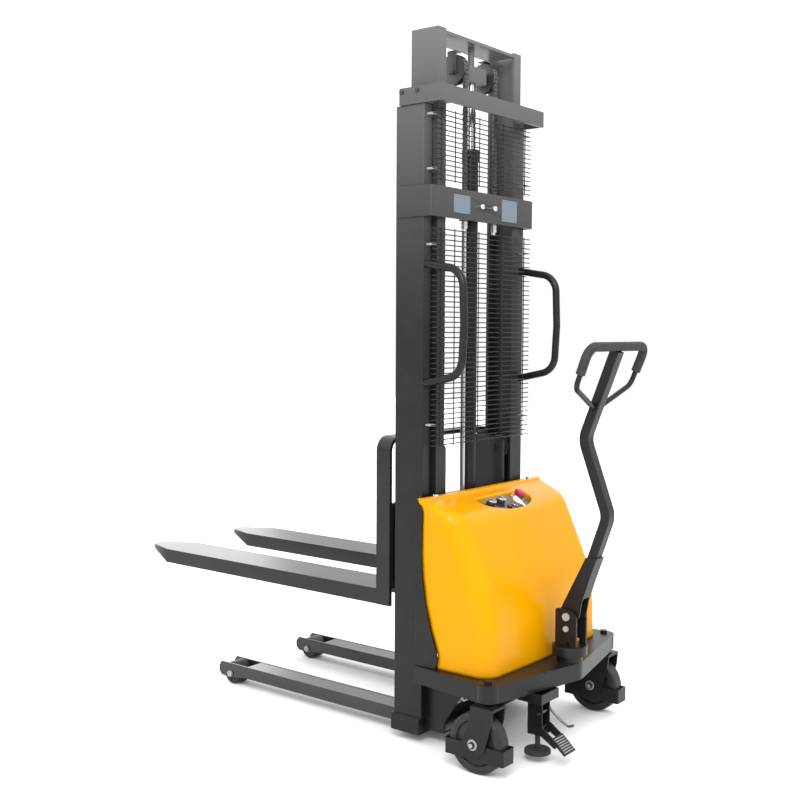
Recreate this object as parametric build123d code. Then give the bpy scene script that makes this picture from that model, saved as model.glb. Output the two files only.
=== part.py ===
from build123d import *
from math import cos, radians, sin
import os

os.makedirs("parts", exist_ok=True)

# Driving dimensions, mm. X forward to the fork tips from the rear face of the outer mast, Y left, Z up.
fit = 0.05            # radial running clearance of pins and rollers
gap = 0.5             # face clearance between moving bodies
wall = 6.0            # folded sheet

# Mast
column_depth = 107.0
column_half = 283.0
column_flange = 42.0
column_web = 8.0
column_flange_t = 10.0
column_top = 1963.0
inner_half = 233.0
inner_flange = 42.0
inner_depth = 102.0
inner_rear = -14.0
inner_bottom = 275.0
inner_top = 2199.0
tie_low = 328.0
tie_high = 366.0
beam_drop = 6.0
beam_t = 10.0
bracket_half = column_half + 6.0
bracket_rear = -71.0
bracket_front = 91.0
bracket_height = 51.0
cross_rear = -36.0
cross_front = 94.0
cross_low = 1626.0
cross_high = 1719.0
plate_t = 10.0
side_t = 6.0
roller_r = 43.2
mast_roller_z = 330.0
mast_roller_x = 53.5

# Lift cylinder, chains and sheaves
cyl_x = 27.0
cyl_r = 26.0
gland_r = 28.0
gland_low = 1823.0
gland_high = 1860.0
rod_r = 11.0
rod_low = 340.0
head_low = 2070.0
head_high = 2118.0
sheave_x = 32.0
sheave_y = 83.0
sheave_z = 2100.0
sheave_r = 47.0
groove_r = 37.0
groove_w = 19.0
sheave_w = 23.0
axle_r = 10.0
chain_w = 18.0
chain_in = 37.4
chain_out = 46.4
rear_anchor_z = 1648.0
front_anchor_z = 640.0

# Base, legs and forks
base_low = 27.0
base_high = 79.0
base_rear = 6.0
base_front = 116.0
base_half = 288.0
leg_in = 163.0
leg_out = 244.0
leg_low = 36.0
leg_high = 78.0
leg_end = 846.0
leg_step = 1.0          # plates sit this far inside the cheeks' edges
toe_end = 952.0
load_x = 894.0
load_r = 40.0
fork_top = 465.0
fork_depth = 50.0
heel_rise = 42.0      # keeps the heel plate above the support leg with the forks down
fork_in = 127.0
fork_out = 287.0
fork_start = 178.0
fork_straight = 1190.0
fork_tip = 1325.0
frame_rear = 124.0
frame_t = 12.0
frame_top = 950.0
frame_bend = 48.0
cheek_in = 163.0
cheek_rear = -2.0
cheek_low = 470.0
cheek_high = 928.0
carriage_roller_r = 40.8
upper_roller_z = 888.0
lower_roller_z = 525.0

# Rear body
deck_top = 268.0
deck_t = 8.0
rim_height = 53.0
rim_t = 6.0
deck_front = -20.0
deck_front_half = 346.0
deck_corner_x = -318.0
deck_corner_half = 383.0
deck_apex_x = -402.0
side_half = 342.0
side_top = 762.0
cover_t = 4.0
cover_front = -26.0
cover_top = 777.0
panel_half = 126.0
panel_front = -87.0
panel_depth = 84.0
panel_slope = 20.0
panel_z = 743.0
panel_wall = 3.0
panel_floor = 4.0

# Casters and floor lock
caster_x = -292.0
caster_y = 350.0
caster_trail = 30.0
wheel_r = 90.0
wheel_w = 48.0
kingpin_r = 11.0
lock_x = -345.0
lock_y = 160.0
lock_top = 186.0

# Tiller
swivel_x = -360.0
disc_r = 54.0
disc_low = 289.5
disc_high = 318.0
pivot_x = -366.0
pivot_z = 411.0
pivot_r = 9.0
arm_half = 20.0
loop_half = 172.0
loop_tube_r = 8.0
grip_r = 14.0
loop_top_x = -510.0
loop_top_z = 1237.0

centre_x = (fork_tip + loop_top_x - grip_r) / 2


def block(x0, x1, y0, y1, z0, z1):
    return Pos((x0 + x1) / 2, (y0 + y1) / 2, (z0 + z1) / 2) * Box(abs(x1 - x0), abs(y1 - y0), abs(z1 - z0))


def rod(start, end, radius):
    start, end = Vector(*start), Vector(*end)
    plane = Plane(origin=start, z_dir=end - start)
    return extrude(plane * Circle(radius), amount=(end - start).length)


def slab_y(points, y0, y1):
    face = make_face(Polyline(*[(x, y0, z) for x, z in points], close=True))
    return extrude(face, amount=y1 - y0, dir=(0, 1, 0))


def slab_x(points, x0, x1):
    face = make_face(Polyline(*[(x0, y, z) for y, z in points], close=True))
    return extrude(face, amount=x1 - x0, dir=(1, 0, 0))


def slab_z(points, z0, z1):
    face = make_face(Polyline(*[(x, y, z0) for x, y in points], close=True))
    return extrude(face, amount=z1 - z0, dir=(0, 0, 1))


def tube(points, radius, bend):
    path = FilletPolyline(*points, radius=bend)
    return sweep(Plane(origin=path @ 0, z_dir=path % 0) * Circle(radius), path=path)


def mirrored(shape):
    return mirror(shape, Plane.XZ)


def both(shape):
    return [shape, mirrored(shape)]


def join(pieces):
    whole = pieces[0]
    for piece in pieces[1:]:
        whole = whole + piece
    return whole


def save(name, *pieces):
    flat = []
    for piece in pieces:
        flat.extend(piece.solids())
    shape = flat[0] if len(flat) == 1 else Compound(children=flat)
    export_step(Pos(-centre_x, 0, 0) * shape, f"parts/{name}.step")


def channel(half, flange, web, flange_t, x0, x1, z0, z1):
    body = block(x0, x1, half - flange, half, z0, z1)
    return body - block(x0 + flange_t, x1 - flange_t, half - flange - 1, half - web, z0 - 1, z1 + 1)


# Outer mast
column = channel(column_half, column_flange, column_web, column_flange_t, 0, column_depth, base_high,
                 column_top)
save("outer_columns", *both(column))

bracket_low = column_top
bracket_high = bracket_low + bracket_height
bracket = block(bracket_rear, bracket_front, -bracket_half, bracket_half, bracket_low, bracket_high)
bracket -= block(bracket_rear + plate_t, bracket_front + 1, -column_half, column_half, bracket_low - 1,
                 bracket_high + 1)
for face in (1, -1):
    bracket += block(0, bracket_front, face * (column_half - column_web), face * column_half, bracket_low,
                     bracket_high - 3)
screw_r = 6.0
screw_z = bracket_high - 12
screw_holes = [rod((x, s * 200, screw_z), (x, s * 320, screw_z), 4.1)
               for x in (21, 80) for s in (1, -1)]
for hole in screw_holes:
    bracket -= hole
save("top_bracket", bracket)

pad_face = inner_half + gap
pads = []
for x in (21, 80):
    pads += both(block(x - 20, x + 20, pad_face, column_half - column_web - 1.6, bracket_low + 3,
                       bracket_high - 3))
pads += both(block(bracket_rear + plate_t, inner_rear - gap, 196, 231, bracket_low + 8, bracket_high - 8))
save("wear_pads", *pads)

screws = []
for x in (21, 80):
    pin = rod((x, column_half - column_web - 1.6, bracket_high - 12),
              (x, bracket_half + 2, bracket_high - 12), 4.0)
    head = rod((x, bracket_half + 0.0, bracket_high - 12), (x, bracket_half + 8, bracket_high - 12),
               screw_r)
    socket = rod((x, bracket_half + 4, bracket_high - 12), (x, bracket_half + 9, bracket_high - 12), 3.0)
    screws += both(pin + head - socket)
save("pad_screws", *screws)

cross_half = column_half + side_t
cross = block(cross_rear, cross_front, -cross_half, cross_half, cross_low, cross_high)
cross = fillet(cross.edges().filter_by(Axis.Z).sort_by(Axis.X)[:2], 14)
inner_cut = block(cross_rear + plate_t, cross_front + 1, -column_half, column_half, cross_low - 1,
                  cross_high + 1)
cross -= fillet(inner_cut.edges().filter_by(Axis.Z).sort_by(Axis.X)[:2], 6)
lug_x = sheave_x - (chain_in + chain_out) / 2
for y in (sheave_y, -sheave_y):
    cross += block(cross_rear + plate_t - 1, lug_x + 12, y - 15, y + 15, cross_low, cross_low + 10)
    cross -= rod((lug_x, y, cross_low - 2), (lug_x, y, cross_low + 12), 6.1)
clamp_z = (cross_low + cross_high) / 2
clamp_r = 5.0
clamp_y = cyl_r + clamp_r + 5.0
for y in (clamp_y, -clamp_y):
    cross -= rod((cross_rear - 1, y, clamp_z), (cross_rear + plate_t + 1, y, clamp_z), clamp_r + 0.1)
save("mid_crossbeam", cross)

# Saddle and U-bolt that hold the cylinder to the crossbeam
saddle = block(cross_rear + plate_t, cyl_x, -24, 24, clamp_z - 25, clamp_z + 25)
saddle -= rod((cyl_x, 0, clamp_z - 30), (cyl_x, 0, clamp_z + 30), cyl_r + 0.3)
bolt_end = cross_rear - 8
bend_x = cyl_x + 4
u_path = FilletPolyline(
    (bolt_end, clamp_y, clamp_z), (bend_x + clamp_y, clamp_y, clamp_z),
    (bend_x + clamp_y, -clamp_y, clamp_z), (bolt_end, -clamp_y, clamp_z), radius=30)
u_bolt = sweep(Plane(origin=u_path @ 0, z_dir=u_path % 0) * Circle(clamp_r), path=u_path)
nuts = []
for y in (clamp_y, -clamp_y):
    nut = rod((cross_rear - 17, y, clamp_z), (cross_rear, y, clamp_z), 9.5)
    nut = fillet(nut.edges().filter_by(GeomType.CIRCLE).sort_by(Axis.X)[0], 8)
    nuts.append(nut - rod((bolt_end - 0.2, y, clamp_z), (cross_rear + 1, y, clamp_z), clamp_r + 0.05))
save("cylinder_clamp", saddle, u_bolt, *nuts)

plates = []
for y, width, height in ((135, 88, 56), (-135, 92, 70)):
    sheet = block(cross_rear - 1.2, cross_rear, y - width / 2, y + width / 2, clamp_z - height / 2,
                  clamp_z + height / 2)
    for dy in (-width / 2 + 5, width / 2 - 5):
        for dz in (-height / 2 + 5, height / 2 - 5):
            sheet += rod((cross_rear - 2.4, y + dy, clamp_z + dz), (cross_rear - 1, y + dy, clamp_z + dz),
                         2.4)
    plates.append(sheet)
save("data_plates", *plates)

# Cylinder: base, tube and gland, bored for the rod
port_low = base_high + 35
cylinder = rod((cyl_x, 0, base_high + 16), (cyl_x, 0, gland_low), cyl_r)
cylinder += rod((cyl_x, 0, gland_low), (cyl_x, 0, gland_high), gland_r)
cylinder += block(cyl_x - 36, cyl_x + 36, -45, 45, base_high, base_high + 16)
cylinder += rod((cyl_x, 0, port_low), (cyl_x - 44, 0, port_low), 9)
bore_low = rod_low - 205
cylinder -= rod((cyl_x, 0, bore_low), (cyl_x, 0, gland_low + 2), cyl_r - 5)
cylinder -= rod((cyl_x, 0, gland_low), (cyl_x, 0, gland_high + 1), rod_r + fit)
pipe_x, pipe_y, pipe_r = 1.0, 62.0, 4.0
port_z = gland_low + 14
cylinder -= rod((pipe_x, pipe_y, port_z), (cyl_x - 14, 20, port_z), pipe_r + 0.02)
save("lift_cylinder", cylinder)

pack_front, pack_y = -90.0, 150.0
return_pipe = tube([(pipe_x + 10, 34, port_z), (pipe_x, pipe_y, port_z), (pipe_x, pipe_y, port_low - 6),
                    (-46, pipe_y, port_low - 6), (-46, pack_y + 18, port_low - 6), (-46, pack_y + 18, 330),
                    (pack_front, pack_y + 18, 330)], pipe_r, 10)
return_pipe -= rod((cyl_x, 0, port_z - 12), (cyl_x, 0, port_z + 12), gland_r + 0.02)
feed_pipe = tube([(cyl_x - 44, 0, port_low), (-58, 0, port_low), (-58, pack_y, port_low),
                  (-58, pack_y, 300),
                  (pack_front, pack_y, 300)], 6, 12)
save("hydraulic_pipes", return_pipe, feed_pipe)

anchors = []
for y in (sheave_y, -sheave_y):
    stud = rod((lug_x, y, cross_low - 32), (lug_x, y, rear_anchor_z - 8), 6.0)
    for z in (cross_low - 12, cross_low - 24):
        hexagon = extrude(Pos(lug_x, y, z) * RegularPolygon(11, 6), amount=10)
        stud += hexagon
    stud += block(lug_x - 6, lug_x + 6, y - chain_w / 2, y + chain_w / 2, rear_anchor_z - 11, rear_anchor_z)
    anchors.append(stud)
save("chain_anchors", *anchors)

# Leaf chains: rear run to the outer mast, wrap over the sheave, front run to the carriage
rear_x0, rear_x1 = sheave_x - chain_out, sheave_x - chain_in
front_x0, front_x1 = sheave_x + chain_in, sheave_x + chain_out
half_chain = chain_w / 2
save("chain_rear_run", *both(block(rear_x0, rear_x1, sheave_y - half_chain, sheave_y + half_chain,
                                   rear_anchor_z, sheave_z)))
save("chain_front_run", *both(block(front_x0, front_x1, sheave_y - half_chain, sheave_y + half_chain,
                                    front_anchor_z, sheave_z)))
wrap = rod((sheave_x, sheave_y - half_chain, sheave_z), (sheave_x, sheave_y + half_chain, sheave_z),
           chain_out)
wrap -= rod((sheave_x, 0, sheave_z), (sheave_x, 200, sheave_z), chain_in)
wrap &= block(sheave_x - 60, sheave_x + 60, 60, 110, sheave_z, sheave_z + 60)
save("chain_wrap", *both(wrap))

# Inner mast
inner = channel(inner_half, inner_flange, column_web, column_flange_t, inner_rear, inner_rear + inner_depth,
                inner_bottom, inner_top)
stub = rod((mast_roller_x, inner_half - 2, mast_roller_z), (mast_roller_x, 272, mast_roller_z), 12)
save("inner_columns", *both(inner + stub))
inner_gap = inner_half - inner_flange
beam_top = inner_top - beam_drop
beam_low = beam_top - beam_t
beam = block(inner_rear, inner_rear + inner_depth, -inner_gap, inner_gap, beam_low, beam_top)
tie = block(inner_rear, inner_rear + 9, -inner_gap, inner_gap, tie_low, tie_high)
save("inner_crossmembers", beam, tie)
rollers = []
for side in (1, -1):
    ring = rod((mast_roller_x, side * 243, mast_roller_z), (mast_roller_x, side * 271, mast_roller_z),
               roller_r)
    ring -= rod((mast_roller_x, side * 240, mast_roller_z), (mast_roller_x, side * 274, mast_roller_z),
                12 + fit)
    rollers.append(ring)
save("mast_rollers", *rollers)

head_half = 50.0
head = block(0, 60, -head_half, head_half, head_low, head_high)
head = fillet(head.edges().filter_by(Axis.Z), 3)
head += rod((cyl_x, 0, head_high - 1), (cyl_x, 0, beam_low), 11)
head -= rod((sheave_x, -60, sheave_z), (sheave_x, 60, sheave_z), axle_r + 0.02)
head -= rod((cyl_x, 0, head_low - 1), (cyl_x, 0, head_low + 12), rod_r + 0.02)
save("crosshead", head)
lift_rod = rod((cyl_x, 0, rod_low + 20), (cyl_x, 0, head_low + 11), rod_r)
lift_rod += rod((cyl_x, 0, rod_low), (cyl_x, 0, rod_low + 21), cyl_r - 5 - fit)
save("piston_rod", lift_rod)

guard_y = sheave_y + sheave_w / 2 + 2
axle = rod((sheave_x, -guard_y - 9, sheave_z), (sheave_x, guard_y + 9, sheave_z), axle_r)
straps = []
for side in (1, -1):
    y0, y1 = side * guard_y, side * (guard_y + 4)
    strap = block(sheave_x - 16, sheave_x + 16, y0, y1, sheave_z - 14, sheave_z + 56)
    strap += block(sheave_x - 16, sheave_x + 16, side * (sheave_y - 12), y1, sheave_z + 52, sheave_z + 56)
    strap -= rod((sheave_x, side * 60, sheave_z), (sheave_x, side * 130, sheave_z), axle_r + 0.02)
    straps.append(strap)
    washer = rod((sheave_x, side * (guard_y + 4), sheave_z), (sheave_x, side * (guard_y + 8), sheave_z), 15)
    straps.append(washer - rod((sheave_x, side * 60, sheave_z), (sheave_x, side * 130, sheave_z),
                               axle_r + 0.02))
save("sheave_axle", axle, *straps)

sheaves = []
for y in (sheave_y, -sheave_y):
    wheel = rod((sheave_x, y - sheave_w / 2, sheave_z), (sheave_x, y + sheave_w / 2, sheave_z), sheave_r)
    groove = rod((sheave_x, y - groove_w / 2, sheave_z), (sheave_x, y + groove_w / 2, sheave_z),
                 sheave_r + 1)
    groove -= rod((sheave_x, y - groove_w, sheave_z), (sheave_x, y + groove_w, sheave_z), groove_r)
    sheaves.append(wheel - groove - rod((sheave_x, y - 20, sheave_z), (sheave_x, y + 20, sheave_z),
                                        axle_r + fit))
save("sheaves", *sheaves)

# Fork carriage: arch of flat bar, cheeks that carry the rollers, cross plate and chain lugs
frame_front = fork_start
arch_outer = slab_x([(-fork_out, fork_top - fork_depth), (fork_out, fork_top - fork_depth),
                     (fork_out, frame_top),
                     (-fork_out, frame_top)], frame_rear, frame_front)
arch_outer = fillet(arch_outer.edges().filter_by(Axis.X).sort_by(Axis.Z)[-2:], frame_bend)
arch_inner = slab_x([(-fork_out + frame_t, 0), (fork_out - frame_t, 0),
                     (fork_out - frame_t, frame_top - frame_t),
                     (-fork_out + frame_t, frame_top - frame_t)], frame_rear - 1, frame_front + 1)
arch_inner = fillet(arch_inner.edges().filter_by(Axis.X).sort_by(Axis.Z)[-2:], frame_bend - frame_t)
arch = arch_outer - arch_inner
cross_plate = block(frame_rear, frame_rear + frame_t, -fork_out + frame_t, fork_out - frame_t, cheek_low,
                    740)
cheeks = []
for side in (1, -1):
    cheek = slab_y([(cheek_rear, cheek_low), (frame_rear, cheek_low), (frame_rear, cheek_high),
                    (cheek_rear, cheek_high)],
                   side * cheek_in, side * (cheek_in + frame_t))
    top_rear = cheek.edges().filter_by(Axis.Y).sort_by(Axis.X)[:2].sort_by(Axis.Z)[-1]
    cheek = fillet(top_rear, 20)
    web = block(frame_rear, frame_front - 4, side * cheek_in, side * (cheek_in + frame_t), 740,
                frame_top - frame_t)
    cheeks += [cheek, web]
    for z in (upper_roller_z, lower_roller_z):
        cheeks.append(rod((inner_rear + inner_depth / 2, side * (cheek_in - 3), z),
                          (inner_rear + inner_depth / 2, side * 222, z), 12))
front_x = sheave_x + (chain_in + chain_out) / 2
lugs = []
for y in (sheave_y, -sheave_y):
    lug = block(front_x - 12, frame_rear, y - 12, y + 12, front_anchor_z - 46, front_anchor_z - 34)
    lug += block(front_x + 12, frame_rear, y - 4, y + 4, front_anchor_z - 80, front_anchor_z - 40)
    lug += rod((front_x, y, front_anchor_z - 66), (front_x, y, front_anchor_z - 8), 6)
    lug += block(front_x - 6, front_x + 6, y - half_chain, y + half_chain, front_anchor_z - 11,
                 front_anchor_z)
    lugs.append(lug)
save("carriage_frame", join([arch, cross_plate] + cheeks + lugs))

carriage_rollers = {"upper": upper_roller_z, "lower": lower_roller_z}
for label, z in carriage_rollers.items():
    pair = []
    x = inner_rear + inner_depth / 2
    for side in (1, -1):
        ring = rod((x, side * 195, z), (x, side * 221, z), carriage_roller_r)
        pair.append(ring - rod((x, side * 190, z), (x, side * 226, z), 12 + fit))
    save(f"carriage_rollers_{label}", *pair)


def fork(side):
    mid = (fork_in + fork_out) / 2
    low = fork_top - fork_depth

    def plan(inset, nose):
        half = (fork_out - fork_in) / 2 - inset
        return [(fork_start, mid - half), (fork_straight, mid - half), (nose - 12, mid - half + 46),
                (nose, mid - half + 58),
                (nose, mid + half - 58), (nose - 12, mid + half - 46), (fork_straight, mid + half),
                (fork_start, mid + half)]

    outer = slab_z(plan(0, fork_tip), low, fork_top)
    outer &= slab_y([(fork_start, low), (fork_straight, low), (fork_tip, fork_top - 16),
                     (fork_tip, fork_top - 3),
                     (fork_straight, fork_top), (fork_start, fork_top)], fork_in, fork_out)
    hollow = slab_z(plan(wall, fork_tip - 40), low - 1, fork_top - wall)
    shape = outer - hollow
    shape += block(fork_start - frame_t, fork_start, fork_in + 8, fork_out - frame_t, low + heel_rise,
                   low + 300)
    return shape if side > 0 else mirrored(shape)


save("fork_left", fork(1))
save("fork_right", fork(-1))

# Base beam and support legs
base = block(base_rear, base_front, -base_half, base_half, base_low, base_high)
base -= block(base_rear + wall, base_front - wall, -base_half + wall, base_half - wall, base_low + wall,
              base_high - wall)
save("base_beam", base)


def leg():
    mid = (leg_in + leg_out) / 2
    cheek = [(base_front, leg_low), (leg_end - 30, leg_low), (load_x + 20, leg_low - 10),
             (toe_end - 12, leg_low - 8),
             (toe_end, leg_low + 6), (toe_end, leg_high - 16), (toe_end - 12, leg_high),
             (base_front, leg_high)]
    sides = [slab_y(cheek, leg_in, leg_in + wall), slab_y(cheek, leg_out - wall, leg_out)]
    top, low = leg_high - leg_step, leg_low + leg_step
    ramp = [(leg_end - 42, top), (leg_end - 34, top), (leg_end, low + 3), (leg_end - 8, low + 3)]
    between = [block(base_front, leg_end - 36, leg_in + wall, leg_out - wall, top - 5, top),
               block(base_front, leg_end, leg_in + wall, leg_out - wall, low, low + 4),
               slab_y(ramp, leg_in + wall, leg_out - wall),
               block(toe_end - 14, toe_end - 6, leg_in + wall, leg_out - wall, leg_low + 4, leg_high - 20)]
    return join(sides + between) - rod((load_x, mid - 60, load_r), (load_x, mid + 60, load_r), 8.02)


save("support_legs", *both(leg()))
axles = []
rollers = {}
for side, label in ((1, "left"), (-1, "right")):
    pin = rod((load_x, side * (leg_in - 3), load_r), (load_x, side * (leg_out + 3), load_r), 8)
    pin += rod((load_x, side * (leg_in - 6), load_r), (load_x, side * (leg_in - 1), load_r), 11)
    pin += rod((load_x, side * (leg_out), load_r), (load_x, side * (leg_out + 6), load_r), 11)
    pin -= block(load_x - 20, load_x + 20, side * (leg_in - 1), side * leg_in, 0, 100) & rod(
        (load_x, side * (leg_in - 3), load_r), (load_x, side * (leg_in), load_r), 12) - rod(
        (load_x, side * (leg_in - 4), load_r), (load_x, side * (leg_in + 1), load_r), 8)
    axles.append(pin)
    tyre = rod((load_x, side * (leg_in + 8), load_r), (load_x, side * (leg_out - 8), load_r), load_r)
    rollers[label] = tyre - rod((load_x, side * 100, load_r), (load_x, side * 300, load_r), 8 + fit)
save("load_axles", *axles)
for label, tyre in rollers.items():
    save(f"load_roller_{label}", tyre)

# Platform with its rim, tied to the columns
def deck_outline(inset):
    return [(deck_front, -deck_front_half + inset), (deck_front, deck_front_half - inset),
            (deck_corner_x + inset * 0.8, deck_corner_half - inset), (deck_apex_x + inset, 0),
            (deck_corner_x + inset * 0.8, -deck_corner_half + inset)]


def deck_body(inset, z0, z1, corner, apex):
    body = slab_z(deck_outline(inset), z0, z1)
    uprights = body.edges().filter_by(Axis.Z).sort_by(Axis.X)
    body = fillet(uprights[0], apex)
    uprights = body.edges().filter_by(Axis.Z).filter_by_position(Axis.X, deck_corner_x - 1,
                                                                 deck_corner_x + 12)
    return fillet(uprights, corner)


deck = deck_body(0, deck_top - rim_height, deck_top, 46, 70)
deck -= deck_body(rim_t, deck_top - rim_height - 1, deck_top - deck_t, 40, 64)
for side in (1, -1):
    deck += block(deck_front - 1, 0, side * 245, side * 282, deck_top - deck_t, deck_top)
    deck += rod((caster_x, side * caster_y, deck_top - rim_height + 2),
                (caster_x, side * caster_y, deck_top - 1), 34)
    deck -= rod((caster_x, side * caster_y, 150), (caster_x, side * caster_y, 300), kingpin_r + fit)
deck += rod((swivel_x, 0, deck_top - 1), (swivel_x, 0, disc_low - gap), 40)
deck -= rod((swivel_x, 0, 200), (swivel_x, 0, 320), 10 + fit)
deck -= rod((-58, pack_y, 240), (-58, pack_y, 280), 6.02)
deck -= rod((-46, pack_y + 18, 240), (-46, pack_y + 18, 280), pipe_r + 0.02)
save("platform", deck)

gussets = []
for side in (1, -1):
    gussets.append(slab_y([(0, deck_top - deck_t), (-150, deck_top - deck_t), (-150, 205), (-66, 74),
                           (-66, 40), (0, 40)],
                          side * 245, side * 253))
tray = block(-66, 0, -245, 245, 40, 46)
rim_low = deck_top - rim_height
lock_box = block(lock_x - 42, lock_x + 42, lock_y - 50, lock_y + 50, lock_top, rim_low)
lock_box += block(lock_x, lock_x + 42, lock_y - 50, lock_y + 50, rim_low, deck_top - deck_t)
lock_box -= block(lock_x - 36, lock_x + 36, lock_y - 44, lock_y + 44, lock_top + wall, rim_low + 1)
lock_box -= block(lock_x + wall, lock_x + 36, lock_y - 44, lock_y + 44, lock_top + wall, deck_top)
save("underframe", join([gussets[0], tray, gussets[1]]), lock_box)

side_plates = []
for side in (1, -1):
    profile = [(deck_front, deck_top), (-96, deck_top), (-104, 300), (-100, 320), (-78, 381), (-57, 463),
               (-46, 540),
               (-42, 610), (-44, 700), (-46, 740), (-40, 756), (-30, side_top), (deck_front, side_top)]
    web = slab_y(profile, side * (side_half - 4), side * side_half)
    front = block(deck_front - 4, deck_front, side * 250, side * (side_half - 1), deck_top, side_top)
    tab = block(deck_front - 1, 0, side * 250, side * 254, deck_top, side_top)
    shelf = block(-60, deck_front - 3, side * 250, side * 290, side_top - 2, side_top + 2)
    side_plates.append(join([web, front, tab, shelf]) - rod((-40, side * 268, 700), (-40, side * 268, 800),
                                                            5.1))
save("side_plates", *side_plates)

# Hood: rounded sections lofted upward, hollow, open below and at the mast
hood_rows = [(deck_top, 286, 333, 60, 6), (400, 281, 334, 62, 7), (500, 263, 335, 66, 8),
             (560, 243, 335, 70, 9),
             (610, 222, 335, 70, 10), (650, 204, 335, 70, 11), (690, 186, 335, 70, 12),
             (712, 175, 335, 68, 12),
             (727, 161, 335, 64, 10), (738, 141, 336, 56, 8), (749, 113, 336, 44, 5), (764, 72, 337, 24, 3),
             (cover_top, 36, 338, 8, 1)]


def hood_section(z, rear, half, radius, bulge, inset):
    rear, half = rear - inset, half - inset
    radius = max(radius - inset, 6)
    flat = half - radius
    edges = [Line((cover_front, half, z), (-rear + radius, half, z)),
             RadiusArc((-rear + radius, half, z), (-rear, flat, z), -radius),
             ThreePointArc((-rear, flat, z), (-rear - bulge, 0, z), (-rear, -flat, z)),
             RadiusArc((-rear, -flat, z), (-rear + radius, -half, z), -radius),
             Line((-rear + radius, -half, z), (cover_front, -half, z)),
             Line((cover_front, -half, z), (cover_front, half, z))]
    return make_face(Wire(edges))


hood_outer = loft([hood_section(*row, 0) for row in hood_rows], ruled=True)
inner_rows = [(deck_top - 1,) + hood_rows[0][1:]] + hood_rows[1:-1] + [(cover_top - cover_t, 44, 338, 14,
                                                                        1)]
hood_inner = loft([hood_section(*row, cover_t) for row in inner_rows], ruled=True)
hood = hood_outer - hood_inner
hood -= block(cover_front - 2, cover_front + 5, -side_half, side_half, deck_top - 2, cover_top - cover_t)


def panel_shape(inset, z0, z1):
    front, half, rear = panel_front - inset, panel_half - 1.4 * inset, panel_front - panel_depth + inset
    bow = [(front - 31, half + 7), (front - 60, half - 16), (rear + 5, half * 0.47)]
    rim = [(front, half)] + bow + [(rear, 0)] + [(x, -y) for x, y in reversed(bow)] + [(front, -half)]
    face = make_face(Wire([Spline(*rim), Line(rim[-1], rim[0])]))
    return extrude(Pos(0, 0, z0) * face, amount=z1 - z0)


hood -= panel_shape(0, 690, 800)
for side in (1, -1):
    hood -= rod((-40, side * 268, 750), (-40, side * 268, 800), 5.1)
for side in (1, -1):
    clip = slab_y([(deck_front, 200), (-100, 200), (-108, 300), (-104, 322), (-82, 383), (-61, 465),
                   (-50, 542), (-46, 612),
                   (-48, 702), (-50, 742), (-44, 760),
                   (deck_front, 760)], side * (side_half - 14), side * (side_half + 4))
    hood -= clip
save("body_cover", hood)

cover_bolts = []
for side in (1, -1):
    bolt = rod((-40, side * 268, cover_top - 26), (-40, side * 268, cover_top + 1), 5)
    bolt += rod((-40, side * 268, cover_top), (-40, side * 268, cover_top + 7), 9)
    bolt -= rod((-40, side * 268, cover_top + 4), (-40, side * 268, cover_top + 8), 4)
    cover_bolts.append(bolt)
save("cover_bolts", *cover_bolts)

# Control panel: a tub that fills the hood opening, its floor tilted with the slope
tilt = Plane(origin=(panel_front, 0, panel_z), x_dir=(-cos(radians(panel_slope)), 0,
                                                      -sin(radians(panel_slope))),
             z_dir=(-sin(radians(panel_slope)), 0, cos(radians(panel_slope))))


def on_panel(u, v, low, high, radius):
    base = tilt.from_local_coords(Vector(u, -v, low))
    top = tilt.from_local_coords(Vector(u, -v, high))
    return rod((base.X, base.Y, base.Z), (top.X, top.Y, top.Z), radius)


def tilted_slab(low, high):
    plane = Plane(tilt.from_local_coords(Vector(40, 0, low)), x_dir=tilt.x_dir, z_dir=tilt.z_dir)
    return extrude(plane * Rectangle(200, 300), amount=high - low)


tub_wall = (panel_shape(0, 680, 790) - panel_shape(panel_wall, 679,
                                                   791)) & hood_outer & tilted_slab(-panel_floor, 80)
panel_slab = tub_wall + (panel_shape(0, 680, 790) & tilted_slab(-panel_floor, 0))
button_spots = {"lift": (36.0, 92.0), "lower": (34.0, 34.0)}
stop_spot = (34.0, -74.0)
key_spot = (58.0, -20.0)
lamp_spot = (60.0, 12.0)
for u, v in list(button_spots.values()) + [stop_spot, key_spot]:
    panel_slab -= on_panel(u, v, -12, 2, 6 + fit)
save("control_panel", panel_slab)

fittings = []
stop_collar = on_panel(*stop_spot, 0, 12, 17) - on_panel(*stop_spot, -1, 14, 6 + fit)
key_barrel = on_panel(*key_spot, -14, 10, 11) - on_panel(*key_spot, -1, 11, 6 + fit) - on_panel(*key_spot,
                                                                                                -15, 0, 12)
lamp = on_panel(*lamp_spot, 0, 14, 8)
fittings = [stop_collar, key_barrel, lamp]
for u, v in button_spots.values():
    fittings.append(on_panel(u, v, 0, 8, 16) - on_panel(u, v, -1, 9, 12.4))
save("panel_fittings", *fittings)

for label, (u, v) in button_spots.items():
    cap = on_panel(u, v, 4, 22, 12) + on_panel(u, v, 18, 22, 14)
    save(f"button_{label}", cap + on_panel(u, v, -10, 5, 6))
stop = on_panel(*stop_spot, 17, 30, 18) + on_panel(*stop_spot, -10, 18, 6)
save("stop_button", stop)
key_low = tilt.from_local_coords(Vector(key_spot[0], -key_spot[1], 0))
key = on_panel(*key_spot, -8, 15, 6)
key_x, key_y, key_z = key_low.X, key_low.Y, key_low.Z
bow = Pos(key_x - 8.5, key_y, key_z + 24) * Rot(0, -panel_slope, 0) * Box(20, 2, 24)
save("key", key + bow)

# Battery and power pack under the hood
batteries = [block(-262, -92, y, y + 176, deck_top, deck_top + 180) for y in (-250, -66)]
save("battery", *batteries)
tank = block(-210, pack_front, 122, 250, deck_top, deck_top + 150)
motor = rod((-150, 186, deck_top + 150), (-150, 186, deck_top + 310), 52)
save("power_pack", tank + motor)

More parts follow.
